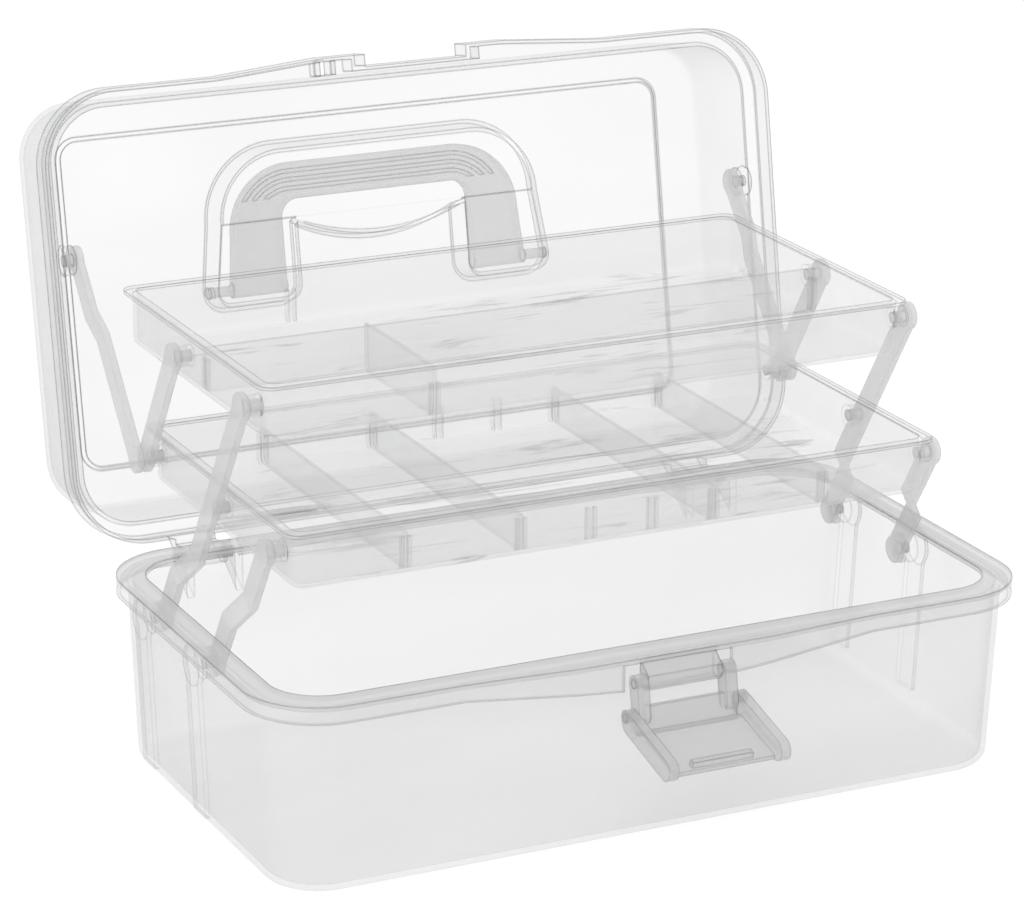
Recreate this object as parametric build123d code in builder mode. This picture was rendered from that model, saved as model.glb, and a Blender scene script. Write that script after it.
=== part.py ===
from build123d import *
from math import cos, radians, sin
import os

os.makedirs("parts", exist_ok=True)

# All sizes are millimetres. X runs along the case, -Y is the front, +Y the hinge side, Z is up.
# The origin is the centre of the underside. The case stands open: lid thrown back, trays fanned out.

# Case
case_length = 320.0          # rim, outside, left to right
case_depth = 180.0           # rim, outside, front to back
rim_corner = 30.0            # corner radius of the rim
front_bulge = 3.4            # how far the middle of the front rim stands forward
bulge_flat = 40.0            # half width of the straight part of the bulge
bulge_end = 85.0             # half width where the bulge has run out

# Base
base_height = 76.0           # floor to rim plane
base_wall = 2.0
base_floor = 2.2
base_flange = 11.2           # rim edge to mouth
body_inset = 4.2             # rim edge to the outside of the wall, under the rim
base_draft = 3.2             # how much each wall leans in from rim to floor
mouth_corner = 20.0
floor_round = 5.0
rim_thickness = 2.0
base_skirt = 7.0             # depth of the turned-down rim edge
skirt_wall = 1.6
wave_depth = 5.2             # how far the front skirt dips further in the middle
rib_width = 12.0             # upright ribs outside the end walls, one at each arm pivot
rib_height = 1.8
boss_radius = 8.0
arm_boss_radius = 6.0        # bosses inside the end walls that the arms turn in
stud_hold = 3.6              # how deep the arms' studs sit in them

# Lid
lid_gap = 0.3                # between the two rims when shut
lid_skirt = 11.0
lid_step = 7.8               # rim edge to inner wall
lid_wall = 1.6
lid_height = 57.0            # rim plane to lid top
lid_draft = 1.0
lid_corner = 21.0
lid_round = 6.0
panel_length = 272.0         # raised panel on the lid top
panel_depth = 136.0
panel_raise = 1.6
panel_corner = 9.0
lid_angle = 100.4            # how far the lid opens
notch_depth = 5.0            # latch notch, from the bulge inwards
notch_block = 6.0            # thickened skirt each side of the notch
window_x = -38.0             # small window through the step, left of the notch
window_length = 4.2
window_depth = 5.8
window_rib = 2.4             # thickness of the rib on each side of the window
window_rib_height = 5.0

# Hinge
hinge_behind = 6.5           # rim edge to hinge axis
hinge_below = 7.7            # rim plane to hinge axis
hinge_from_end = 48.7        # rim's end to the middle of one hinge
knuckle_radius = 4.2
knuckle_width = 17.0         # lid knuckle
lug_width = 2.8              # base lugs, one each side of the lid knuckle
lug_drop = 13.0              # hinge axis to the lugs' pointed feet
side_gap = 0.4
hinge_pin_radius = 2.0
run_clearance = 0.06         # radial clearance of every pin in its hole

# Handle and its recess in the lid top
handle_width = 128.8         # across the grip
handle_flare = 2.0           # how much further out each leg stands at its pivot
handle_front = 49.0          # grip's front edge, forward of the lid's centre line
handle_grip = 15.0           # width of the grip
handle_leg = 21.9            # width of a leg below the grip
handle_thickness = 6.6
handle_corner = 28.0
handle_pivot_back = 1.0      # pivot behind the lid's centre line
handle_round = 1.0
handle_pin_radius = 2.2
handle_ridge = 1.6           # width of the ridges along the grip
handle_ridge_height = 0.5
handle_ridge_pitch = 3.6
handle_ridge_drop = 14.5     # how far down the corners the ridges run
recess_depth = 10.7          # below the panel
recess_side_room = 5.7       # beside the grip
recess_front_room = 5.0      # in front of the grip
recess_flare = 4.5           # how much further out the recess stands at its feet
recess_back = 5.5            # behind the lid's centre line, at the feet
recess_corner = 27.0
recess_foot = 5.0            # corner radius of the recess at its feet
recess_step = 0.8            # the floor is this much higher under the legs
recess_lean = 0.25           # how far the recess walls lean out, per unit of depth
handle_under = 2.7           # recess floor to handle
scoop_side_room = 3.0        # finger scoop to leg
scoop_front_room = 7.2       # finger scoop's ends to grip
scoop_dip = 8.6              # how far the scoop's middle lies behind its ends

# Trays
tray_length = 272.0          # over the rim
tray_depth = 145.0
tray_height = 22.6
tray_flange = 2.75
tray_wall = 1.5
tray_corner = 6.0
tray_round = 4.0
tray_rim = 1.4               # thickness of the tray's rim
pivot_below_rim = 9.0
front_pivot_inset = 12.0     # lower tray: front edge to its front pivot
upper_pivot_inset = 9.8      # the same on the upper tray
tray_boss_radius = 4.2
tray_boss_length = 5.2

# Dividers and the small ribs that hold them
divider_thickness = 1.4
lower_divider_height = 14.6
long_divider_height = 17.6
cross_divider_height = 19.2
divider_1_x = -88.0
divider_2_x = -41.0
divider_3_x = 40.0
divider_4_x = 87.5
spare_ribs_left = -12.0      # ribs with no divider in them
spare_ribs_right = 14.0
long_divider_y = -5.0        # from the tray's middle
cross_divider_x = -65.5
guide_rib = 1.2
guide_depth = 1.8
guide_height = 13.0
divider_play = 0.15          # between a divider and a rib, each side
divider_gap = 0.3            # at a divider's ends

# Arms: pivots as (y, z)
base_pivot_y = 48.0          # long arm
base_pivot_z = 65.0
front_pivot_y = -4.2         # front arm
first_span = 62.0            # base pivot to lower tray pivot
second_span = 58.0           # lower tray pivot to upper tray pivot
link_spacing = 67.0          # long arm to rear link, along the tray
arm_lean = 32.2              # forward of upright when open
arm_width = 9.6
arm_thickness = 3.0
arm_end_radius = 5.6
arm_joggle_start = 24.0      # along the arm from its base pivot
arm_joggle_end = 34.0
stud_radius = 2.3
wall_gap = 0.4               # arm to base or lid wall
arm_edge = 0.7               # rounding of the arms' edges
lid_pivot_in = 113.8         # lid rim edge at the back to the lid arm's pivot
lid_pivot_up = 12.2          # above the lid's rim plane
lid_boss_radius = 6.0
lid_arm_gap = 0.9            # lid arm to rear link, side by side

# Latch
latch_gap = 22.2             # half width of the gap in the skirt
latch_block = 15.4           # half width of the fixed hinge block
latch_axis_out = 3.4         # block axis in front of the bulge
latch_axis_down = 8.0        # below the rim plane
latch_pin_radius = 1.8
latch_link_length = 12.0     # axis to axis
latch_link_lean = 11.0       # swung outward when idle
link_bar = 4.8               # width of a link side
link_radius = 3.3
link_web = 3.0               # cross bar between the link's sides
link_web_below = 7.4         # how far it hangs below the lever's axis
lever_wall = 4.0
lever_back = 3.0             # lever axis to the cheek's rim-side edge
lobe_radius = 4.2
lever_reach = 32.0           # lever pivot to knob
lever_lean = 14.0            # below level when idle
lever_plate = 1.8
lever_plate_gap = 0.5        # plate to cross bar
knob_radius = 4.2
lever_rib_length = 25.0
lever_rib_height = 2.4

near = 0.01                  # how close two heights must be to count as one

# Worked out from the sizes above
rim_front = -case_depth / 2
hinge_y = case_depth / 2 + hinge_behind
hinge_z = base_height - hinge_below
mouth_length = case_length - 2 * base_flange
mouth_depth = case_depth - 2 * base_flange
body_length = case_length - 2 * body_inset
body_depth = case_depth - 2 * body_inset
body_corner = rim_corner - body_inset
lid_inner_length = case_length - 2 * lid_step
lid_inner_depth = case_depth - 2 * lid_step
hinge_span = case_length / 2 - hinge_from_end
divider_spots = (divider_1_x, divider_2_x, divider_3_x, divider_4_x)
spare_spots = (spare_ribs_left, spare_ribs_right)


def swung(y, z, angle=lid_angle):
    """A shut-lid point (y, z) after the lid has turned back by the angle."""
    turn = radians(angle)
    dy, dz = y - hinge_y, z - hinge_z
    return hinge_y + dy * cos(turn) + dz * sin(turn), hinge_z - dy * sin(turn) + dz * cos(turn)


def lid_plane(height):
    """The plane at a height above the lid's rim plane, in the lid as it stands open."""
    y, z = swung(0, base_height + height)
    turn = radians(lid_angle)
    return Plane(origin=(0, y, z), x_dir=(1, 0, 0), z_dir=(0, sin(turn), cos(turn)))


def lid_side_plane(x):
    """The plane across the lid at x, with local x towards the lid's front and local y up from its rim."""
    y, z = swung(0, base_height)
    turn = radians(lid_angle)
    return Plane(origin=(x, y, z), x_dir=(0, -cos(turn), sin(turn)), z_dir=(-1, 0, 0))


def rim_outline(inset=0.0):
    """The rim as seen from above, inset all round: a rounded rectangle whose front bulges a little."""
    half_length = case_length / 2 - inset
    half_depth = case_depth / 2 - inset
    front = -half_depth - front_bulge
    with BuildSketch(mode=Mode.PRIVATE) as outline:
        RectangleRounded(2 * half_length, 2 * half_depth, rim_corner - inset)
        with BuildLine():
            Polyline(
                (-bulge_end, -half_depth + front_bulge),
                (-bulge_end, -half_depth),
                (-bulge_flat, front),
                (bulge_flat, front),
                (bulge_end, -half_depth),
                (bulge_end, -half_depth + front_bulge),
                close=True,
            )
        make_face()
    return outline.sketch


def swing_point(y, z, length, lean=arm_lean):
    """The far end of a bar that leans forward of upright from (y, z)."""
    return y - length * sin(radians(lean)), z + length * cos(radians(lean))


# Pivots of the arms as the case stands open
lower_main_y, lower_main_z = swing_point(base_pivot_y, base_pivot_z, first_span)
lower_front_y = lower_main_y - (base_pivot_y - front_pivot_y)
lower_rear_y = lower_main_y + link_spacing
upper_front_y, upper_z = swing_point(lower_main_y, lower_main_z, second_span)
upper_rear_y = upper_front_y + link_spacing
lid_pivot_y, lid_pivot_z = swung(case_depth / 2 - lid_pivot_in, base_height + lid_pivot_up)

# Trays as they stand
lower_tray_front = lower_front_y - front_pivot_inset
lower_rim_z = lower_main_z + pivot_below_rim
upper_tray_front = upper_front_y - upper_pivot_inset
upper_rim_z = upper_z + pivot_below_rim
tray_side = tray_length / 2 - tray_flange

# Side-by-side places of the arms, as the distance of their middle from the centre of the case
tray_arm_x = tray_side + tray_boss_length + side_gap + arm_thickness / 2
base_lean_in = base_draft * (base_height - base_pivot_z) / base_height
base_arm_x = mouth_length / 2 - base_lean_in - wall_gap - arm_thickness / 2
lid_wall_x = lid_inner_length / 2
lid_link_x = tray_arm_x + arm_thickness + lid_arm_gap
lid_boss_length = lid_wall_x - base_arm_x - arm_thickness / 2 - wall_gap
base_boss_face = base_arm_x + arm_thickness / 2 + wall_gap
base_stud_length = arm_thickness / 2 + wall_gap + stud_hold


def body_half(half, height):
    """Half width of the tapering base wall at a height."""
    return half - base_draft * (base_height - height) / base_height


# ---------------------------------------------------------------- base
latch_axis_y = rim_front - front_bulge - latch_axis_out
latch_axis_z = base_height - latch_axis_down
block_back = rim_front - front_bulge + skirt_wall
lug_corner = knuckle_radius * cos(radians(45))

with BuildPart() as base_tub:
    # body, tapering to the floor
    with BuildSketch(Plane.XY) as foot:
        RectangleRounded(body_length - 2 * base_draft, body_depth - 2 * base_draft, body_corner - base_draft)
    with BuildSketch(Plane.XY.offset(base_height)) as brim:
        RectangleRounded(body_length, body_depth, body_corner)
    loft(ruled=True)
    fillet(base_tub.edges().group_by(Axis.Z)[0], floor_round)
    # ribs and pivot bosses outside the end walls
    for side in (-1, 1):
        for pivot_y in (base_pivot_y, front_pivot_y):
            with BuildSketch(Plane.XZ.offset(-pivot_y)) as rib:
                with BuildLine():
                    Polyline(
                        (side * (body_half(body_length / 2, floor_round) - base_wall / 2), floor_round),
                        (side * (body_half(body_length / 2, floor_round) + rib_height), floor_round),
                        (side * (body_half(body_length / 2, base_pivot_z) + rib_height), base_pivot_z),
                        (side * (body_half(body_length / 2, base_pivot_z) - base_wall / 2), base_pivot_z),
                        close=True,
                    )
                make_face()
            extrude(amount=rib_width / 2, both=True)
            with BuildSketch(Plane.YZ.offset(side * (body_half(body_length / 2, base_pivot_z) - base_wall / 2))):
                with Locations((pivot_y, base_pivot_z)):
                    Circle(boss_radius)
            extrude(amount=side * (base_wall / 2 + rib_height))
    # rim flange and turned-down skirt
    with BuildSketch(Plane.XY.offset(base_height - rim_thickness)):
        add(rim_outline())
        RectangleRounded(mouth_length, mouth_depth, mouth_corner, mode=Mode.SUBTRACT)
    extrude(amount=rim_thickness)
    with BuildSketch(Plane.XY.offset(base_height - base_skirt)):
        add(rim_outline())
        add(rim_outline(skirt_wall), mode=Mode.SUBTRACT)
    extrude(amount=base_skirt)
    # front skirt dips in a wave towards the latch
    with BuildSketch(Plane.XY.offset(base_height - base_skirt - wave_depth)) as wave_band:
        add(rim_outline())
        add(rim_outline(skirt_wall), mode=Mode.SUBTRACT)
        with Locations((0, rim_front + case_depth / 2)):
            Rectangle(case_length, case_depth - 2 * front_bulge, mode=Mode.SUBTRACT)
        with Locations((0, rim_front)):
            Rectangle(2 * bulge_end, 4 * front_bulge, mode=Mode.INTERSECT)
    extrude(amount=wave_depth)
    skirt_z = base_height - base_skirt
    for side in (-1, 1):
        with BuildSketch(Plane.XZ.offset(-rim_front - 2 * skirt_wall)):
            with BuildLine():
                Polyline(
                    (side * (bulge_end + skirt_wall), skirt_z),
                    (side * bulge_end, skirt_z),
                    (side * latch_gap, skirt_z - wave_depth),
                    (side * latch_gap, skirt_z - 2 * wave_depth),
                    (side * (bulge_end + skirt_wall), skirt_z - 2 * wave_depth),
                    close=True,
                )
            make_face()
        extrude(amount=2 * skirt_wall + 2 * front_bulge, mode=Mode.SUBTRACT)
    # gap in the skirt for the latch, and the fixed block that the latch turns on
    with BuildSketch(Plane.XY.offset(base_height - rim_thickness)):
        with Locations((0, rim_front + 2 * skirt_wall)):
            Rectangle(2 * latch_gap, 4 * front_bulge, align=(Align.CENTER, Align.MAX))
    extrude(amount=-(base_skirt + wave_depth), mode=Mode.SUBTRACT)
    with BuildSketch(Plane.YZ):
        with BuildLine():
            Polyline(
                (block_back, base_height - rim_thickness / 2),
                (rim_front - front_bulge + rim_thickness / 2, base_height - rim_thickness / 2),
                (latch_axis_y - latch_pin_radius, latch_axis_z + 3 * latch_pin_radius / 2),
                (latch_axis_y - latch_pin_radius, latch_axis_z - latch_pin_radius),
                (latch_axis_y, latch_axis_z - 2 * latch_pin_radius),
                (block_back, latch_axis_z - 2 * latch_pin_radius),
                close=True,
            )
        make_face()
    extrude(amount=latch_block, both=True)
    with BuildSketch(Plane.YZ):
        with Locations((latch_axis_y, latch_axis_z)):
            Circle(latch_pin_radius)
    extrude(amount=latch_block + side_gap + link_bar, both=True)
    # hinge lugs under the rear rim
    for hinge_x in (-hinge_span, hinge_span):
        for side in (-1, 1):
            inner = hinge_x + side * (knuckle_width / 2 + side_gap)
            with BuildSketch(Plane.YZ.offset(inner)):
                with BuildLine():
                    Polyline(
                        (case_depth / 2 - skirt_wall, base_height),
                        (case_depth / 2, base_height),
                        (hinge_y + lug_corner, hinge_z + lug_corner),
                        (hinge_y + lug_corner, hinge_z - lug_corner),
                        (body_depth / 2 - base_draft / 2, hinge_z - lug_drop),
                        (body_depth / 2 - base_draft, hinge_z - lug_drop),
                        (body_depth / 2 - base_draft, base_height),
                        close=True,
                    )
                make_face()
                with Locations((hinge_y, hinge_z)):
                    Circle(knuckle_radius)
            extrude(amount=side * lug_width)
        with BuildSketch(Plane.YZ.offset(hinge_x)):
            with Locations((hinge_y, hinge_z)):
                Circle(hinge_pin_radius + run_clearance)
        extrude(amount=knuckle_width, both=True, mode=Mode.SUBTRACT)
    # hollow, with a narrower mouth through the rim
    hollow_top = base_height - rim_thickness
    with BuildSketch(Plane.XY.offset(base_floor)):
        RectangleRounded(
            2 * body_half(body_length / 2, base_floor) - 2 * base_wall,
            2 * body_half(body_depth / 2, base_floor) - 2 * base_wall,
            body_corner - base_draft - base_wall,
        )
    with BuildSketch(Plane.XY.offset(hollow_top)):
        RectangleRounded(
            2 * body_half(body_length / 2, hollow_top) - 2 * base_wall,
            2 * body_half(body_depth / 2, hollow_top) - 2 * base_wall,
            body_corner - base_wall,
        )
    loft(ruled=True, mode=Mode.SUBTRACT)
    floor_edges = base_tub.edges().filter_by_position(Axis.Z, base_floor - near, base_floor + near)
    fillet(floor_edges, floor_round - base_wall)
    with BuildSketch(Plane.XY.offset(hollow_top)):
        RectangleRounded(mouth_length, mouth_depth, mouth_corner)
    extrude(amount=rim_thickness, mode=Mode.SUBTRACT)
    # bosses inside the end walls for the arms, with blind holes for their studs
    for side in (-1, 1):
        for pivot_y in (base_pivot_y, front_pivot_y):
            with BuildSketch(Plane.YZ.offset(side * base_boss_face)):
                with Locations((pivot_y, base_pivot_z)):
                    Circle(arm_boss_radius)
            extrude(amount=side * (body_half(body_length / 2, base_pivot_z) - base_wall / 2 - base_boss_face))
            with BuildSketch(Plane.YZ.offset(side * base_arm_x)):
                with Locations((pivot_y, base_pivot_z)):
                    Circle(stud_radius + run_clearance)
            extrude(amount=side * base_stud_length, mode=Mode.SUBTRACT)
base_tub.part.label = "base_tub"
export_step(base_tub.part, "parts/base_tub.step")

# ---------------------------------------------------------------- lid
recess_floor = lid_height + panel_raise - recess_depth
handle_axis = recess_floor + handle_under + handle_thickness / 2
recess_half = handle_width / 2 + recess_side_room
recess_front = handle_front + recess_front_room
leg_inner = handle_width / 2 - handle_leg
leg_outer = handle_width / 2 + handle_flare
handle_straight = handle_front - handle_corner - handle_round
scoop_side = leg_inner - scoop_side_room
scoop_edge = handle_front - handle_grip - scoop_front_room
pivot_height = handle_axis - recess_floor
foot_reach = scoop_edge + recess_back
recess_wall_x = recess_half + recess_flare * (scoop_edge + handle_pivot_back) / foot_reach
pivot_wall_x = recess_wall_x + pivot_height * recess_lean
pin_reach = pivot_wall_x + lid_wall - leg_outer


def flared_arch(half, flared_half, front, flare_from, back, corner):
    """An arch seen from above the lid: a rounded front, and sides that flare out to the back."""
    with BuildSketch(mode=Mode.PRIVATE) as outline:
        with BuildLine():
            Polyline(
                (-flared_half, back),
                (-half, -flare_from),
                (-half, -front),
                (half, -front),
                (half, -flare_from),
                (flared_half, back),
                close=True,
            )
        make_face()
        fillet(outline.vertices().group_by(Axis.Y)[0], corner)
    return outline.sketch


def recess_outline(grow=0.0):
    """The sunken area for the handle: an arch with a finger scoop, open at two feet."""
    side = scoop_side - grow
    edge = scoop_edge - grow
    back = recess_back + grow
    with BuildSketch(mode=Mode.PRIVATE) as outline:
        add(flared_arch(
            recess_half + grow, recess_half + recess_flare + grow, recess_front + grow,
            scoop_edge, back, recess_corner + grow,
        ))
        with BuildLine():
            ThreePointArc((-side, -edge), (0, -edge + scoop_dip), (side, -edge))
            Polyline((side, -edge), (side, 2 * back), (-side, 2 * back), (-side, -edge))
        make_face(mode=Mode.SUBTRACT)
        fillet(outline.vertices().group_by(Axis.Y)[-1], recess_foot + grow)
    return outline.sketch


def lies_at(edge, height):
    """Whether both ends of an edge of the lid lie at a height above its rim plane."""
    plane = lid_plane(height)
    return all(abs(plane.to_local_coords(corner.center()).Z) < near for corner in edge.vertices())


with BuildPart() as lid_shell:
    # walls leaning in to the top
    with BuildSketch(lid_plane(lid_skirt - lid_wall)):
        RectangleRounded(lid_inner_length + 2 * lid_wall, lid_inner_depth + 2 * lid_wall, lid_corner + lid_wall)
    with BuildSketch(lid_plane(lid_height)):
        RectangleRounded(
            lid_inner_length + 2 * lid_wall - 2 * lid_draft,
            lid_inner_depth + 2 * lid_wall - 2 * lid_draft,
            lid_corner + lid_wall,
        )
    loft(ruled=True)
    top_edges = lid_shell.edges().filter_by(lambda edge: lies_at(edge, lid_height))
    fillet(top_edges, lid_round)
    with BuildPart(mode=Mode.SUBTRACT) as lid_hollow:
        with BuildSketch(lid_plane(lid_skirt - lid_wall)):
            RectangleRounded(lid_inner_length, lid_inner_depth, lid_corner)
        with BuildSketch(lid_plane(lid_height - lid_wall)):
            RectangleRounded(lid_inner_length - 2 * lid_draft, lid_inner_depth - 2 * lid_draft, lid_corner)
        loft(ruled=True)
        ceiling_edges = lid_hollow.edges().filter_by(lambda edge: lies_at(edge, lid_height - lid_wall))
        fillet(ceiling_edges, lid_round - lid_wall)
    # raised panel
    with BuildSketch(lid_plane(lid_height - lid_wall)):
        RectangleRounded(panel_length, panel_depth, panel_corner)
    extrude(amount=lid_wall + panel_raise)
    with BuildSketch(lid_plane(lid_height - lid_wall)):
        RectangleRounded(panel_length - 2 * lid_wall, panel_depth - 2 * lid_wall, panel_corner - lid_wall)
    extrude(amount=panel_raise, mode=Mode.SUBTRACT)
    # recess for the handle
    with BuildSketch(lid_plane(recess_floor - lid_wall)):
        add(recess_outline(lid_wall))
    with BuildSketch(lid_plane(recess_floor + recess_depth - lid_wall)):
        add(recess_outline(lid_wall + recess_depth * recess_lean))
    loft(ruled=True)
    with BuildSketch(lid_plane(recess_floor)):
        add(recess_outline())
    with BuildSketch(lid_plane(recess_floor + recess_depth + lid_wall)):
        add(recess_outline((recess_depth + lid_wall) * recess_lean))
    loft(ruled=True, mode=Mode.SUBTRACT)
    with BuildSketch(lid_plane(recess_floor)):
        add(recess_outline(lid_wall / 2))
        with Locations((0, -scoop_edge)):
            Rectangle(lid_inner_length, lid_inner_depth, align=(Align.CENTER, Align.MIN), mode=Mode.INTERSECT)
    extrude(amount=recess_step)
    # step and skirt round the rim
    with BuildSketch(lid_plane(lid_skirt - lid_wall)):
        add(rim_outline())
        RectangleRounded(lid_inner_length, lid_inner_depth, lid_corner, mode=Mode.SUBTRACT)
    extrude(amount=lid_wall)
    with BuildSketch(lid_plane(lid_gap)):
        add(rim_outline())
        add(rim_outline(skirt_wall), mode=Mode.SUBTRACT)
    extrude(amount=lid_skirt - lid_gap)
    # notch at the front for the latch, with a ledge set back in it
    with BuildSketch(lid_plane(lid_gap)):
        with Locations((0, rim_front - front_bulge)):
            Rectangle(2 * latch_gap, 2 * notch_depth)
    extrude(amount=lid_skirt, mode=Mode.SUBTRACT)
    with BuildSketch(lid_plane(lid_gap)):
        with Locations((0, rim_front - front_bulge + notch_depth + lid_wall / 2)):
            Rectangle(2 * latch_gap + 2 * notch_block, lid_wall)
        with Locations(
            (-latch_gap - notch_block / 2, rim_front - front_bulge + notch_depth / 2),
            (latch_gap + notch_block / 2, rim_front - front_bulge + notch_depth / 2),
        ):
            Rectangle(notch_block, notch_depth)
    extrude(amount=lid_skirt - lid_gap)
    # window through the step, with a rib on each side of it
    window_y = rim_front - front_bulge + skirt_wall + window_depth / 2
    with BuildSketch(lid_plane(lid_skirt - lid_wall)):
        with Locations((window_x, window_y)):
            Rectangle(window_length, window_depth)
    extrude(amount=lid_wall, mode=Mode.SUBTRACT)
    with BuildSketch(lid_plane(lid_skirt - lid_wall)):
        with Locations((window_x, window_y)):
            with GridLocations(window_length + window_rib, 0, 2, 1):
                Rectangle(window_rib, window_depth)
    extrude(amount=-window_rib_height)
    # knuckles that reach down behind the base rim
    for hinge_x in (-hinge_span, hinge_span):
        with BuildSketch(lid_side_plane(hinge_x)):
            with BuildLine():
                Polyline(
                    (-case_depth / 2 + skirt_wall, lid_skirt - lid_wall),
                    (-case_depth / 2, lid_skirt - lid_wall),
                    (-hinge_y - knuckle_radius, -hinge_below / 2),
                    (-hinge_y - knuckle_radius, -hinge_below),
                    (-hinge_y + knuckle_radius, -hinge_below),
                    (-hinge_y + knuckle_radius, lid_gap),
                    (-case_depth / 2 + skirt_wall, lid_gap),
                    close=True,
                )
            make_face()
            with Locations((-hinge_y, -hinge_below)):
                Circle(knuckle_radius)
                Circle(hinge_pin_radius + run_clearance, mode=Mode.SUBTRACT)
        extrude(amount=knuckle_width / 2, both=True)
    # bosses for the lid arms, with blind holes
    for side in (-1, 1):
        boss_face = side * (lid_wall_x - lid_boss_length)
        with BuildSketch(lid_side_plane(boss_face)):
            with Locations((lid_pivot_in - case_depth / 2, lid_pivot_up)):
                Circle(lid_boss_radius)
                Circle(stud_radius + run_clearance, mode=Mode.SUBTRACT)
        extrude(amount=-side * (lid_boss_length + lid_wall / 2))
        with BuildSketch(lid_side_plane(side * leg_outer)):
            with Locations((-handle_pivot_back, handle_axis)):
                Circle(handle_pin_radius + run_clearance)
        extrude(amount=-side * (pin_reach + side_gap), mode=Mode.SUBTRACT)
lid_shell.part.label = "lid_shell"
export_step(lid_shell.part, "parts/lid_shell.step")

# ---------------------------------------------------------------- handle
with BuildPart() as carry_handle:
    with BuildSketch(lid_plane(handle_axis - handle_thickness / 2)):
        add(flared_arch(
            handle_width / 2, leg_outer, handle_front, handle_straight, handle_pivot_back, handle_corner,
        ))
        add(
            flared_arch(leg_inner, leg_inner, handle_front - handle_grip, 0, handle_pivot_back, handle_grip / 2),
            mode=Mode.SUBTRACT,
        )
    extrude(amount=handle_thickness)
    fillet(carry_handle.edges().filter_by(GeomType.CIRCLE), handle_round)
    for side in (-1, 1):
        with BuildSketch(lid_side_plane(side * leg_inner)):
            with Locations((-handle_pivot_back, handle_axis)):
                Circle(handle_thickness / 2)
        extrude(amount=-side * (leg_outer - leg_inner))
        with BuildSketch(lid_side_plane(side * leg_outer)):
            with Locations((-handle_pivot_back, handle_axis)):
                Circle(handle_pin_radius)
        extrude(amount=-side * pin_reach)
    # ridges along the outside of the grip, round its corners
    for place in (-1, 0, 1):
        ridge_outside = (handle_grip - handle_ridge) / 2 + place * handle_ridge_pitch
        ridge_inside = ridge_outside + handle_ridge
        with BuildSketch(lid_plane(handle_axis + handle_thickness / 2)):
            for inset, mode in ((ridge_outside, Mode.ADD), (ridge_inside, Mode.SUBTRACT)):
                add(
                    flared_arch(
                        handle_width / 2 - inset, leg_outer - inset, handle_front - inset,
                        handle_straight, handle_pivot_back, handle_corner - inset,
                    ),
                    mode=mode,
                )
            with Locations((0, -handle_front)):
                Rectangle(handle_width, 2 * handle_ridge_drop, mode=Mode.INTERSECT)
        extrude(amount=handle_ridge_height)
carry_handle.part.label = "carry_handle"
export_step(carry_handle.part, "parts/carry_handle.step")

# ---------------------------------------------------------------- trays
inner_side = tray_side - tray_wall
divider_slot = divider_thickness / 2 + divider_play + guide_rib / 2


def make_tray(name, front, rim_z, boss_places, walls_x, wall_y):
    """A tray with pivot bosses on its ends and small ribs that hold its dividers."""
    middle = front + tray_depth / 2
    inner_half = tray_depth / 2 - tray_flange - tray_wall
    floor_z = rim_z - tray_height + tray_wall
    with BuildPart() as tray:
        with BuildSketch(Plane.XY.offset(rim_z - tray_height)):
            with Locations((0, middle)):
                RectangleRounded(2 * tray_side, tray_depth - 2 * tray_flange, tray_corner)
        extrude(amount=tray_height)
        fillet(tray.edges().group_by(Axis.Z)[0], tray_round)
        with BuildSketch(Plane.XY.offset(rim_z - tray_rim)):
            with Locations((0, middle)):
                RectangleRounded(tray_length, tray_depth, tray_corner)
        extrude(amount=tray_rim)
        with BuildSketch(Plane.XY.offset(floor_z)):
            with Locations((0, middle)):
                RectangleRounded(2 * inner_side, 2 * inner_half, tray_corner - tray_wall)
        extrude(amount=tray_height, mode=Mode.SUBTRACT)
        inner_edges = tray.edges().filter_by_position(Axis.Z, floor_z - near, floor_z + near)
        fillet(inner_edges, tray_round - tray_wall)
        for side in (-1, 1):
            for boss_y in boss_places:
                with BuildSketch(Plane.YZ.offset(side * tray_side)):
                    with Locations((boss_y, rim_z - pivot_below_rim)):
                        Circle(tray_boss_radius)
                        Circle(stud_radius + run_clearance, mode=Mode.SUBTRACT)
                extrude(amount=side * tray_boss_length)
            # ribs for cross dividers, front and back
            rib_y = middle + side * (inner_half - guide_depth / 2)
            for wall_x in walls_x:
                with BuildSketch(Plane.XY.offset(floor_z)):
                    with Locations((wall_x - divider_slot, rib_y), (wall_x + divider_slot, rib_y)):
                        Rectangle(guide_rib, guide_depth)
                extrude(amount=guide_height)
            # ribs for the long divider, at the ends
            for rib_side in wall_y:
                rib_x = side * (inner_side - guide_depth / 2)
                with BuildSketch(Plane.XY.offset(floor_z)):
                    with Locations((rib_x, rib_side - divider_slot), (rib_x, rib_side + divider_slot)):
                        Rectangle(guide_depth, guide_rib)
                extrude(amount=guide_height)
    tray.part.label = name
    export_step(tray.part, f"parts/{name}.step")


long_divider_place = upper_tray_front + tray_depth / 2 + long_divider_y
make_tray(
    "lower_tray",
    lower_tray_front,
    lower_rim_z,
    (lower_front_y, lower_main_y, lower_rear_y),
    divider_spots + spare_spots,
    (),
)
make_tray(
    "upper_tray",
    upper_tray_front,
    upper_rim_z,
    (upper_front_y, upper_rear_y),
    (cross_divider_x,),
    (long_divider_place,),
)

# ---------------------------------------------------------------- dividers
inner_half_depth = tray_depth / 2 - tray_flange - tray_wall


def make_divider(name, plane, half_run, height):
    """An upright plate standing on its plane's local x axis, with rounded lower corners."""
    with BuildPart() as divider:
        with BuildSketch(plane) as plate:
            with Locations((0, height / 2)):
                Rectangle(2 * half_run, height)
            fillet(plate.vertices().group_by(Axis.Y)[0], tray_round)
        extrude(amount=divider_thickness / 2, both=True)
    divider.part.label = name
    export_step(divider.part, f"parts/{name}.step")


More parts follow.
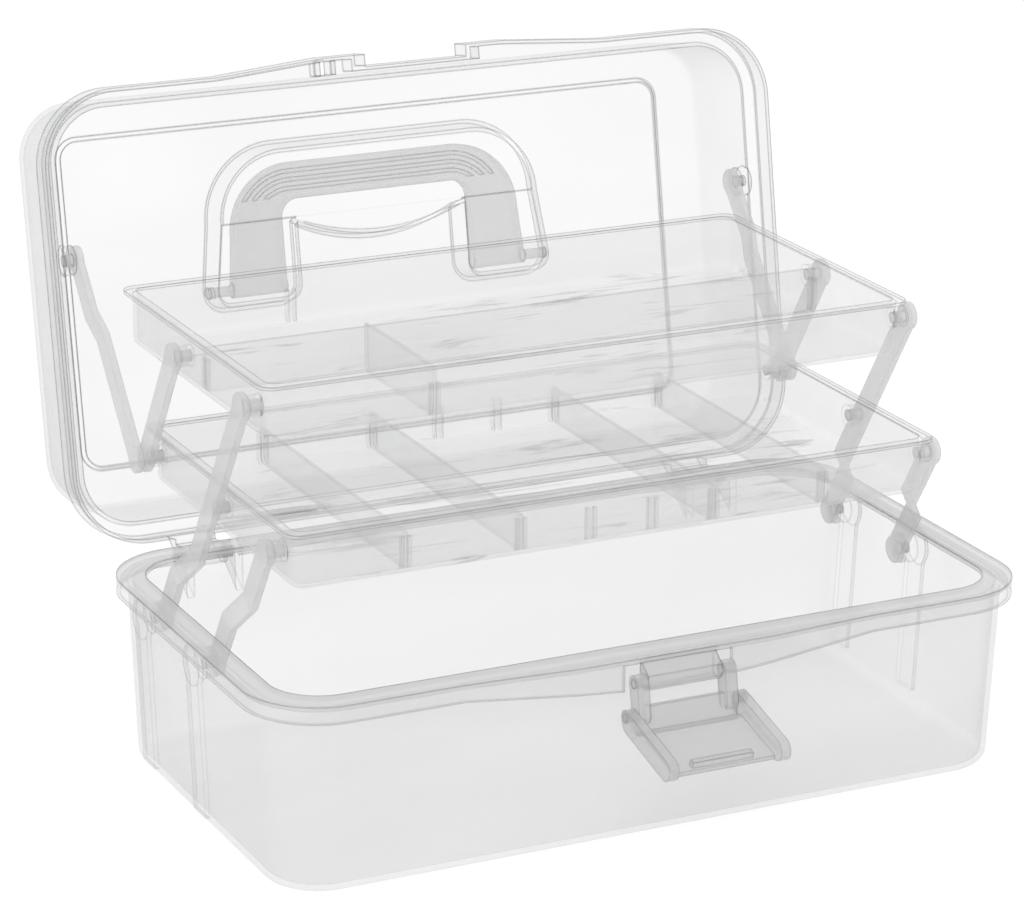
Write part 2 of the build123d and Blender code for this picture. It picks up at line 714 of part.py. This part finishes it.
lower_floor_z = lower_rim_z - tray_height + tray_wall
upper_floor_z = upper_rim_z - tray_height + tray_wall
for number, spot in enumerate(divider_spots, start=1):
    across_tray = Plane(
        origin=(spot, lower_tray_front + tray_depth / 2, lower_floor_z),
        x_dir=(0, 1, 0),
        z_dir=(1, 0, 0),
    )
    make_divider(f"lower_divider_{number}", across_tray, inner_half_depth - divider_gap, lower_divider_height)

along_tray = Plane(origin=(0, long_divider_place, upper_floor_z), x_dir=(1, 0, 0), z_dir=(0, -1, 0))
make_divider("upper_divider_long", along_tray, inner_side - divider_gap, long_divider_height)

cross_front = upper_tray_front + tray_flange + tray_wall + divider_gap
cross_back = long_divider_place - divider_thickness / 2 - divider_gap
across_front = Plane(
    origin=(cross_divider_x, (cross_front + cross_back) / 2, upper_floor_z),
    x_dir=(0, 1, 0),
    z_dir=(1, 0, 0),
)
make_divider("upper_divider_cross", across_front, (cross_back - cross_front) / 2, cross_divider_height)

# ---------------------------------------------------------------- arms
tray_stud_length = tray_boss_length
lid_stud_length = lid_boss_length - side_gap


def make_arm(name, side, start, end, start_x, end_x, studs):
    """A flat bar from start to end (y, z), stepped sideways from start_x to end_x, with studs on it."""
    run = Vector(0, *end) - Vector(0, *start)
    along = run.normalized()
    edge_on = Plane(origin=(0, *start), x_dir=along, z_dir=along.cross(Vector(1, 0, 0)))
    half = arm_thickness / 2
    before, after = -arm_end_radius, run.length + arm_end_radius
    with BuildPart() as arm:
        with BuildSketch(edge_on):
            with BuildLine():
                Polyline(
                    (before, side * (start_x - half)),
                    (arm_joggle_start, side * (start_x - half)),
                    (arm_joggle_end, side * (end_x - half)),
                    (after, side * (end_x - half)),
                    (after, side * (end_x + half)),
                    (arm_joggle_end, side * (end_x + half)),
                    (arm_joggle_start, side * (start_x + half)),
                    (before, side * (start_x + half)),
                    close=True,
                )
            make_face()
        extrude(amount=arm_end_radius, both=True)
        with BuildSketch(Plane(origin=(0, *start), x_dir=along, z_dir=(1, 0, 0))):
            with Locations((run.length / 2, 0)):
                Rectangle(run.length, arm_width)
            with Locations((0, 0), (run.length, 0)):
                Circle(arm_end_radius)
        extrude(amount=side * case_length / 2, mode=Mode.INTERSECT)
        fillet(arm.edges(), arm_edge)
        for (stud_y, stud_z), from_x, to_x in studs:
            with BuildSketch(Plane.YZ.offset(side * from_x)):
                with Locations((stud_y, stud_z)):
                    Circle(stud_radius)
            extrude(amount=side * (to_x - from_x))
    arm.part.label = name
    export_step(arm.part, f"parts/{name}.step")


base_main = (base_pivot_y, base_pivot_z)
base_front = (front_pivot_y, base_pivot_z)
lower_main = (lower_main_y, lower_main_z)
lower_front = (lower_front_y, lower_main_z)
lower_rear = (lower_rear_y, lower_main_z)
upper_front = (upper_front_y, upper_z)
upper_rear = (upper_rear_y, upper_z)
lid_pivot = (lid_pivot_y, lid_pivot_z)

half_arm = arm_thickness / 2
base_stud_tip = base_arm_x + base_stud_length - wall_gap
tray_stud_tip = tray_arm_x - half_arm - tray_stud_length
lid_stud_tip = base_arm_x + half_arm + lid_stud_length

for letter, side in (("l", -1), ("r", 1)):
    make_arm(
        f"long_arm_{letter}", side, base_main, upper_front, base_arm_x, tray_arm_x,
        (
            (base_main, base_arm_x, base_stud_tip),
            (lower_main, tray_arm_x, tray_stud_tip),
            (upper_front, tray_arm_x, tray_stud_tip),
        ),
    )
    make_arm(
        f"front_arm_{letter}", side, base_front, lower_front, base_arm_x, tray_arm_x,
        ((base_front, base_arm_x, base_stud_tip), (lower_front, tray_arm_x, tray_stud_tip)),
    )
    make_arm(
        f"rear_link_{letter}", side, lower_rear, upper_rear, tray_arm_x, tray_arm_x,
        ((lower_rear, tray_arm_x, tray_stud_tip), (upper_rear, tray_arm_x, tray_stud_tip)),
    )
    make_arm(
        f"lid_arm_{letter}", side, lid_pivot, lower_rear, base_arm_x, lid_link_x,
        ((lid_pivot, base_arm_x, lid_stud_tip),),
    )

# ---------------------------------------------------------------- latch
link_low_y = latch_axis_y - latch_link_length * sin(radians(latch_link_lean))
link_low_z = latch_axis_z - latch_link_length * cos(radians(latch_link_lean))
link_inner = latch_block + side_gap
link_outer = link_inner + link_bar
link_down = Vector(0, link_low_y - latch_axis_y, link_low_z - latch_axis_z).normalized()
link_plane = Plane(origin=(0, latch_axis_y, latch_axis_z), x_dir=link_down, z_dir=(1, 0, 0))

with BuildPart() as latch_link:
    for side in (-1, 1):
        with BuildSketch(link_plane.offset(side * link_inner)):
            with Locations((latch_link_length / 2, 0)):
                SlotCenterToCenter(latch_link_length, 2 * link_radius)
            Circle(latch_pin_radius + run_clearance, mode=Mode.SUBTRACT)
        extrude(amount=side * link_bar)
        with BuildSketch(link_plane.offset(side * link_outer)):
            with Locations((latch_link_length, 0)):
                Circle(latch_pin_radius)
        extrude(amount=side * (side_gap + lever_wall))
    with BuildSketch(link_plane):
        with Locations((latch_link_length + (link_web_below - link_radius) / 2, 0)):
            Rectangle(link_web_below + link_radius, link_web)
    extrude(amount=link_outer, both=True)
latch_link.part.label = "latch_link"
export_step(latch_link.part, "parts/latch_link.step")

lever_out = Vector(0, -cos(radians(lever_lean)), -sin(radians(lever_lean)))
lever_plane = Plane(origin=(0, link_low_y, link_low_z), x_dir=lever_out, z_dir=(1, 0, 0))
cheek_inner = link_outer + side_gap
plate_low = 2 * knob_radius - lever_back
link_to_lever = radians(90 - latch_link_lean - lever_lean)
plate_start = (plate_low * cos(link_to_lever) + link_web / 2 + lever_plate_gap) / sin(link_to_lever)
with BuildPart() as latch_lever:
    for side in (-1, 1):
        with BuildSketch(lever_plane.offset(side * cheek_inner)) as cheek:
            with BuildSketch(mode=Mode.PRIVATE) as rounds:
                Circle(lever_back)
                with Locations((lobe_radius / 2, lobe_radius - lever_back)):
                    Circle(lobe_radius)
                with Locations((lever_reach, knob_radius - lever_back)):
                    Circle(knob_radius)
            make_hull(rounds.sketch.edges())
            Circle(latch_pin_radius + run_clearance, mode=Mode.SUBTRACT)
        extrude(amount=side * lever_wall)
    with BuildSketch(lever_plane):
        with BuildLine():
            Polyline(
                (plate_start, plate_low - lever_plate),
                (lever_reach, plate_low - lever_plate),
                (lever_reach, plate_low),
                (plate_start, plate_low),
                close=True,
            )
        make_face()
    extrude(amount=cheek_inner, both=True)
    with BuildSketch(lever_plane):
        with Locations((lever_reach - lever_rib_height, plate_low - lever_plate - lever_rib_height / 2)):
            Rectangle(lever_rib_height, lever_rib_height)
    extrude(amount=lever_rib_length / 2, both=True)
latch_lever.part.label = "latch_lever"
export_step(latch_lever.part, "parts/latch_lever.step")

# ---------------------------------------------------------------- hinge pins
pin_half = knuckle_width / 2 + side_gap + lug_width
for letter, side in (("l", -1), ("r", 1)):
    with BuildPart() as hinge_pin:
        with BuildSketch(Plane.YZ.offset(side * hinge_span)):
            with Locations((hinge_y, hinge_z)):
                Circle(hinge_pin_radius)
        extrude(amount=pin_half, both=True)
    hinge_pin.part.label = f"hinge_pin_{letter}"
    export_step(hinge_pin.part, f"parts/hinge_pin_{letter}.step")
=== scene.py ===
import bpy
import math
from mathutils import Matrix, Vector


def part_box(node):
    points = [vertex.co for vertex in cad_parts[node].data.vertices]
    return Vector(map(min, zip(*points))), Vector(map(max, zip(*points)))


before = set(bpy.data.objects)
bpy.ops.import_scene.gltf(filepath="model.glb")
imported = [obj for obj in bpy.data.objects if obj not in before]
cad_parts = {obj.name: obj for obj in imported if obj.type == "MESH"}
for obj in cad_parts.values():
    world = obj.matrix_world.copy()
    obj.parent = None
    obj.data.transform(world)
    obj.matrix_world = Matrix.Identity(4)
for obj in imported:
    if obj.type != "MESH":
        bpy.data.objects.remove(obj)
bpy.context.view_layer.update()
print("frame loaded:", len(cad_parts), "nodes")


def srgb(hexColour):
    # sRGB hex to linear: (c / 12.92) below 0.04045, ((c + 0.055) / 1.055) ** 2.4 above
    values = [int(hexColour[i:i + 2], 16) / 255 for i in (1, 3, 5)]
    return tuple(v / 12.92 if v < 0.04045 else ((v + 0.055) / 1.055) ** 2.4 for v in values) + (1.0,)


def addNode(tree, kind, settings=None, inputs=None, links=None):
    # one node with its settings, constant inputs and links {input: (node, output)}
    node = tree.nodes.new(kind)
    for name, value in (settings or {}).items():
        setattr(node, name, value)
    for name, value in (inputs or {}).items():
        node.inputs[name].default_value = value
    for name, (source, output) in (links or {}).items():
        tree.links.new(source.outputs[output], node.inputs[name])
    return node


def calc(tree, operation, *values, clamp=False):
    # one sum: a number is typed into its socket, a (node, output) pair is linked to it
    typed = {socket: value for socket, value in enumerate(values) if not isinstance(value, tuple)}
    linked = {socket: value for socket, value in enumerate(values) if isinstance(value, tuple)}
    return addNode(tree, "ShaderNodeMath", {"operation": operation, "use_clamp": clamp}, typed, linked), 0


def ramp(tree, value, start, end, low, high):
    # low at start and high at end, with a straight line between them and flat beyond
    return addNode(tree, "ShaderNodeMapRange", {"clamp": True},
                   {"From Min": start, "From Max": end, "To Min": low, "To Max": high}, {"Value": value}), 0


def emptyTree(owner):
    owner.use_nodes = True
    owner.node_tree.nodes.clear()
    return owner.node_tree


# the camera stands to the left of the front and looks slightly down
cameraSpec = dict(
    target=(-0.02321, 0.0, 0.12588),
    distance=1.54845,     # metres
    azimuth=26.13,        # degrees left of straight in front
    elevation=18.54,
    roll=0.48,
    lens=143.18,          # mm
    sensorWidth=36.0,     # mm
    nearest=0.05,
    farthest=50.0,
    wallsInARow=96,       # how many see-through faces one ray may pass
)


def buildCamera(spec):
    az, el, roll = (math.radians(spec[k]) for k in ("azimuth", "elevation", "roll"))
    forward = Vector((math.sin(az) * math.cos(el), math.cos(az) * math.cos(el), -math.sin(el)))
    right = forward.cross(Vector((0, 0, 1))).normalized()
    up = right.cross(forward)
    turnedRight = math.cos(roll) * right + math.sin(roll) * up
    turnedUp = -math.sin(roll) * right + math.cos(roll) * up
    data = bpy.data.cameras.new("camera")
    data.lens = spec["lens"]
    data.sensor_width = spec["sensorWidth"]
    data.clip_start = spec["nearest"]
    data.clip_end = spec["farthest"]
    camera = bpy.data.objects.new("camera", data)
    scene = bpy.context.scene
    scene.collection.objects.link(camera)
    axes = Matrix((turnedRight, turnedUp, -forward)).transposed()
    place = Vector(spec["target"]) - spec["distance"] * forward
    camera.matrix_world = Matrix.Translation(place) @ axes.to_4x4()
    scene.camera = camera
    scene.view_settings.view_transform = "Standard"
    scene.cycles.transparent_max_bounces = spec["wallsInARow"]


buildCamera(cameraSpec)
print("camera placed")

# the floor and the sky show white, and the floor keeps a soft shadow
roomSpec = dict(
    floorColour="#f7f7f7",
    floorSize=4.0,        # metres
    floorDrop=0.0002,     # metres, keeps the floor's face apart from the case's underside
    floorGlow=0.90,       # share of the seen floor's white that needs no light
    floorLit=0.16,        # share that the lamp lights, where the shadow shows
    skyStrength=0.68,
    keySize=1.6,          # metres, soft box above and to the left
    keyPower=11.0,        # watts
    keyPlace=(-1.1, -1.2, 1.9),
)
white = (1, 1, 1, 1)


def whiteRays(tree):
    # 1 for rays from the eye, from mirrors and from glass, 0 for the light that falls on things
    path = addNode(tree, "ShaderNodeLightPath")
    mirror = calc(tree, "MAXIMUM", (path, "Is Camera Ray"), (path, "Is Glossy Ray"))
    return calc(tree, "MAXIMUM", mirror, (path, "Is Transmission Ray"))


def buildSky(spec):
    world = bpy.data.worlds.new("sky")
    bpy.context.scene.world = world
    tree = emptyTree(world)
    light = addNode(tree, "ShaderNodeBackground", None, {"Color": white, "Strength": spec["skyStrength"]})
    shown = addNode(tree, "ShaderNodeBackground", None, {"Color": white, "Strength": 1.0})
    mix = addNode(tree, "ShaderNodeMixShader", None, None, {0: whiteRays(tree), 1: (light, 0), 2: (shown, 0)})
    addNode(tree, "ShaderNodeOutputWorld", None, None, {"Surface": (mix, 0)})


def floorBoard(spec):
    material = bpy.data.materials.new("white floor, matt painted board")
    tree = emptyTree(material)
    board = addNode(tree, "ShaderNodeBsdfDiffuse", None, {"Color": srgb(spec["floorColour"])})
    glow = addNode(tree, "ShaderNodeEmission", None, {"Color": white, "Strength": spec["floorGlow"]})
    lit = addNode(tree, "ShaderNodeBsdfDiffuse", None, {"Color": (spec["floorLit"],) * 3 + (1,)})
    both = addNode(tree, "ShaderNodeAddShader", None, None, {0: (glow, 0), 1: (lit, 0)})
    mix = addNode(tree, "ShaderNodeMixShader", None, None, {0: whiteRays(tree), 1: (board, 0), 2: (both, 0)})
    addNode(tree, "ShaderNodeOutputMaterial", None, None, {"Surface": (mix, 0)})
    return material


def buildFloor(spec):
    half = spec["floorSize"] / 2
    corners = [(-half, -half), (half, -half), (half, half), (-half, half)]
    mesh = bpy.data.meshes.new("floor")
    mesh.from_pydata([(x, y, -spec["floorDrop"]) for x, y in corners], [], [(0, 1, 2, 3)])
    mesh.materials.append(floorBoard(spec))
    floor = bpy.data.objects.new("floor", mesh)
    bpy.context.scene.collection.objects.link(floor)


def buildSoftBox(spec):
    lamp = bpy.data.lights.new("soft box", "AREA")
    lamp.size = spec["keySize"]
    lamp.energy = spec["keyPower"]
    key = bpy.data.objects.new("soft box", lamp)
    bpy.context.scene.collection.objects.link(key)
    place = Vector(spec["keyPlace"])
    key.matrix_world = Matrix.Translation(place) @ (-place).to_track_quat("-Z", "Y").to_matrix().to_4x4()


buildSky(roomSpec)
buildFloor(roomSpec)
buildSoftBox(roomSpec)
print("room built")

# Clear polypropylene, injection moulded: see-through and faintly grey, glossy, a little wavy where
# the melt flowed, and darker wherever the eye looks along a wall. The grey at its rounded edges is
# painted shade, standing in for the darker surroundings that a rounded edge bends into view.
# Widths, depths, radii and heights are in metres, and what a wall hides is a share of the light.
lidPlastic = dict(
    faceColour="#c6c7c8",
    # painted shade: the grey drawn at rounded edges, for the darker surroundings they bend into view
    paintedEdgeShade="#4c4d4f",
    face=0.060,           # hidden by one flat face
    flow=0.026,           # more or less of that in the flow clouds
    flowWidth=0.09,
    flowStretch=0.35,     # below 1 draws the clouds out along the case
    skim=0.38,            # hidden besides where the eye looks along the wall
    skimPower=3.0,
    edge=0.62,            # hidden besides by a rounded edge
    edgeRadius=0.0013,
    edgeStart=0.995,      # cosine between flat and rounded face where an edge begins to show
    edgeFull=0.86,        # and where it shows fully
    roughness=0.12,
    refraction=1.49,
    rippleWidth=0.012,    # polish waves that only bend the gloss
    rippleDepth=0.0003,
    rippleStrength=0.35,
)
# the solid's shallow step runs on across the finger scoop, where its edge isn't drawn
scoopStep = dict(halfWidth=0.0375, height=0.1795, reach=0.0022)

# the base, trays and divider paint the shade at their edges in greys of their own
basePlastic = dict(
    lidPlastic, faceColour="#e0e0e1", paintedEdgeShade="#88898b",
    face=0.11, flow=0.03, skim=0.30, edge=0.34,
    lowEdge=0.10,         # what an edge hides below fadedBelow
    fadedBelow=0.052,
    sharpAbove=0.066,
)
# satin finish on the rim's flat top and on the latch block
baseSatin = dict(hides=0.32, rimAbove=0.0745, blockHalf=0.0160, blockFront=-0.0915)

trayPlastic = dict(
    lidPlastic, faceColour="#f3f3f4", paintedEdgeShade="#6c6d6f",
    face=0.165, flow=0.03, flowWidth=0.05, skim=0.26, edge=0.55, lowEdge=0.18,
    edgeRadius=0.0009, roughness=0.15, rippleWidth=0.008,
)
# how far below its rim a tray's edges fade, and where the streaks on its floor begin
trayDepths = dict(sharpAbove=0.002, fadedBelow=0.005, streakBelow=0.0195)
trayStreaks = dict(
    hides=0.14,
    width=0.009,
    stretch=0.14,         # below 1 draws the streaks out along the case
    crestStart=0.60,      # noise value where a streak begins
    crestFull=0.68,
)

dividerPlastic = dict(
    lidPlastic, faceColour="#e2e2e3", paintedEdgeShade="#7c7d7f",
    face=0.12, flow=0.03, flowWidth=0.04, skim=0.15, edge=0.42,
    edgeRadius=0.0005, roughness=0.2, rippleWidth=0.006, rippleDepth=0.0002,
)

# Natural polypropylene, moulded with a fine satin texture: milky and half see-through. Here too the
# grey at the rounded edges is painted shade.
armPlastic = dict(
    lidPlastic, faceColour="#eaeaea", paintedEdgeShade="#b4b4b4",
    face=0.42, flow=0.04, flowWidth=0.03, skim=0.20, skimPower=2.5, edge=0.25,
    edgeRadius=0.0010, roughness=0.38, rippleWidth=0.0012, rippleDepth=0.0001,
)
handlePlastic = dict(armPlastic, faceColour="#e6e6e6", paintedEdgeShade="#969696", face=0.36, edge=0.50)
latchPlastic = dict(armPlastic, faceColour="#dedede", paintedEdgeShade="#a4a4a4")


# how each noise looks: finer detail, its strength, and how far the noise is bent
rippleNoise = {"Detail": 2.0, "Roughness": 0.5}
flowNoise = {"Detail": 3.0, "Roughness": 0.5, "Distortion": 0.6}
streakNoise = {"Detail": 3.0, "Roughness": 0.6, "Distortion": 1.2}
flowRange = (0.3, 0.7)    # noise values where the clouds are thinnest and thickest


def noise(tree, coordinates, width, character):
    # soft noise with blobs about as wide as the given width
    return addNode(tree, "ShaderNodeTexNoise", None, dict(character, Scale=1 / width), {"Vector": coordinates}), 0


def drawnOut(tree, coordinates, stretch):
    # the same coordinates, drawn out along the case
    return addNode(tree, "ShaderNodeMapping", None, {"Scale": (stretch, 1.0, 1.0)}, {"Vector": coordinates}), 0


def seeThrough(name, spec, step=None, satin=None, streaks=None):
    material = bpy.data.materials.new(name)
    tree = emptyTree(material)
    coordinates = (addNode(tree, "ShaderNodeTexCoord"), "Object")
    axes = addNode(tree, "ShaderNodeSeparateXYZ", None, None, {"Vector": coordinates})
    x, y, z = (axes, "X"), (axes, "Y"), (axes, "Z")

    # gloss: the surface is rounded at its edges and waves a little
    ripple = noise(tree, coordinates, spec["rippleWidth"], rippleNoise)
    rounded = addNode(tree, "ShaderNodeBevel", {"samples": 4}, {"Radius": spec["edgeRadius"]})
    bump = addNode(tree, "ShaderNodeBump", None,
                   {"Strength": spec["rippleStrength"], "Distance": spec["rippleDepth"]},
                   {"Height": ripple, "Normal": (rounded, 0)})

    # edges: full where the rounded face turns well away from the flat one; the painted edge shade goes here
    flat = addNode(tree, "ShaderNodeNewGeometry")
    same = addNode(tree, "ShaderNodeVectorMath", {"operation": "DOT_PRODUCT"}, None,
                   {0: (rounded, 0), 1: (flat, "Normal")})
    edge = ramp(tree, (same, "Value"), spec["edgeStart"], spec["edgeFull"], 0.0, 1.0)
    edgeHides = spec["edge"]
    if "lowEdge" in spec:
        edgeHides = ramp(tree, z, spec["fadedBelow"], spec["sharpAbove"], spec["lowEdge"], spec["edge"])
    if step:
        across = calc(tree, "COMPARE", x, 0.0, step["halfWidth"])
        level = calc(tree, "COMPARE", z, step["height"], step["reach"])
        elsewhere = calc(tree, "SUBTRACT", 1.0, calc(tree, "MULTIPLY", across, level))
        edgeHides = calc(tree, "MULTIPLY", elsewhere, edgeHides)

    # hidden share = face and clouds + skim * sight along the wall ** power + edge * what an edge hides
    flow = noise(tree, drawnOut(tree, coordinates, spec["flowStretch"]), spec["flowWidth"], flowNoise)
    clouds = ramp(tree, flow, *flowRange, spec["face"] - spec["flow"], spec["face"] + spec["flow"])
    facing = (addNode(tree, "ShaderNodeLayerWeight", None, {"Blend": 0.5}), "Facing")
    hidden = calc(tree, "MULTIPLY_ADD", calc(tree, "POWER", facing, spec["skimPower"]), spec["skim"], clouds)
    if satin:
        onRim = calc(tree, "GREATER_THAN", z, satin["rimAbove"])
        hidden = calc(tree, "MULTIPLY_ADD", onRim, satin["hides"], hidden)
        middle = calc(tree, "COMPARE", x, 0.0, satin["blockHalf"])
        onBlock = calc(tree, "MULTIPLY", middle, calc(tree, "LESS_THAN", y, satin["blockFront"]))
        hidden = calc(tree, "MULTIPLY_ADD", onBlock, satin["hides"], hidden)
    hidden = calc(tree, "MULTIPLY_ADD", edge, edgeHides, hidden, clamp=True)
    dark = edge
    if streaks:
        swirl = noise(tree, drawnOut(tree, coordinates, streaks["stretch"]), streaks["width"], streakNoise)
        crest = ramp(tree, swirl, streaks["crestStart"], streaks["crestFull"], 0.0, 1.0)
        streak = calc(tree, "MULTIPLY", crest, calc(tree, "LESS_THAN", z, streaks["below"]))
        hidden = calc(tree, "MULTIPLY_ADD", streak, streaks["hides"], hidden, clamp=True)
        dark = calc(tree, "MAXIMUM", edge, streak)

    # the face colour, turning to the painted edge shade at edges and to the same grey in the streaks
    tint = addNode(tree, "ShaderNodeMixRGB", None,
                   {1: srgb(spec["faceColour"]), 2: srgb(spec["paintedEdgeShade"])}, {0: dark})
    plastic = addNode(tree, "ShaderNodeBsdfPrincipled", None,
                      {"Roughness": spec["roughness"], "IOR": spec["refraction"]},
                      {"Base Color": (tint, 0), "Alpha": hidden, "Normal": (bump, 0)})
    addNode(tree, "ShaderNodeOutputMaterial", None, None, {"Surface": (plastic, 0)})
    return material


trayRims = {"upper_tray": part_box("upper_tray")[1][2], "lower_tray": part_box("lower_tray")[1][2]}


def trayMaterial(name, rim):
    # a tray's heights are measured down from its own rim
    heights = {key: rim - depth for key, depth in trayDepths.items()}
    below = heights.pop("streakBelow")
    return seeThrough(name, dict(trayPlastic, **heights), streaks=dict(trayStreaks, below=below))


plastics = {
    "lid": seeThrough("clear polypropylene, moulded and polished", lidPlastic, step=scoopStep),
    # the base's painted edge shade grows fainter low down
    "base": seeThrough("clear polypropylene, moulded, base with fainter low edges", basePlastic, satin=baseSatin),
    "upper_tray": trayMaterial("clear polypropylene, moulded, upper tray", trayRims["upper_tray"]),
    "lower_tray": trayMaterial("clear polypropylene, moulded, lower tray", trayRims["lower_tray"]),
    "divider": seeThrough("clear polypropylene, moulded, divider", dividerPlastic),
    "handle": seeThrough("natural polypropylene, moulded satin, handle", handlePlastic),
    "latch": seeThrough("natural polypropylene, moulded satin, latch", latchPlastic),
    "arm": seeThrough("natural polypropylene, moulded satin, arm", armPlastic),
}


def materialFor(node):
    if node == "base_tub":
        return plastics["base"]
    if node == "lid_shell" or "hinge_pin" in node:
        return plastics["lid"]
    if node in trayRims:
        return plastics[node]
    for part in ("divider", "handle", "latch"):
        if part in node:
            return plastics[part]
    return plastics["arm"]


for nodeName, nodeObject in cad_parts.items():
    slots = nodeObject.data.materials
    if not slots:
        slots.append(None)
    for slot in range(len(slots)):
        slots[slot] = materialFor(nodeName)
print("materials set")
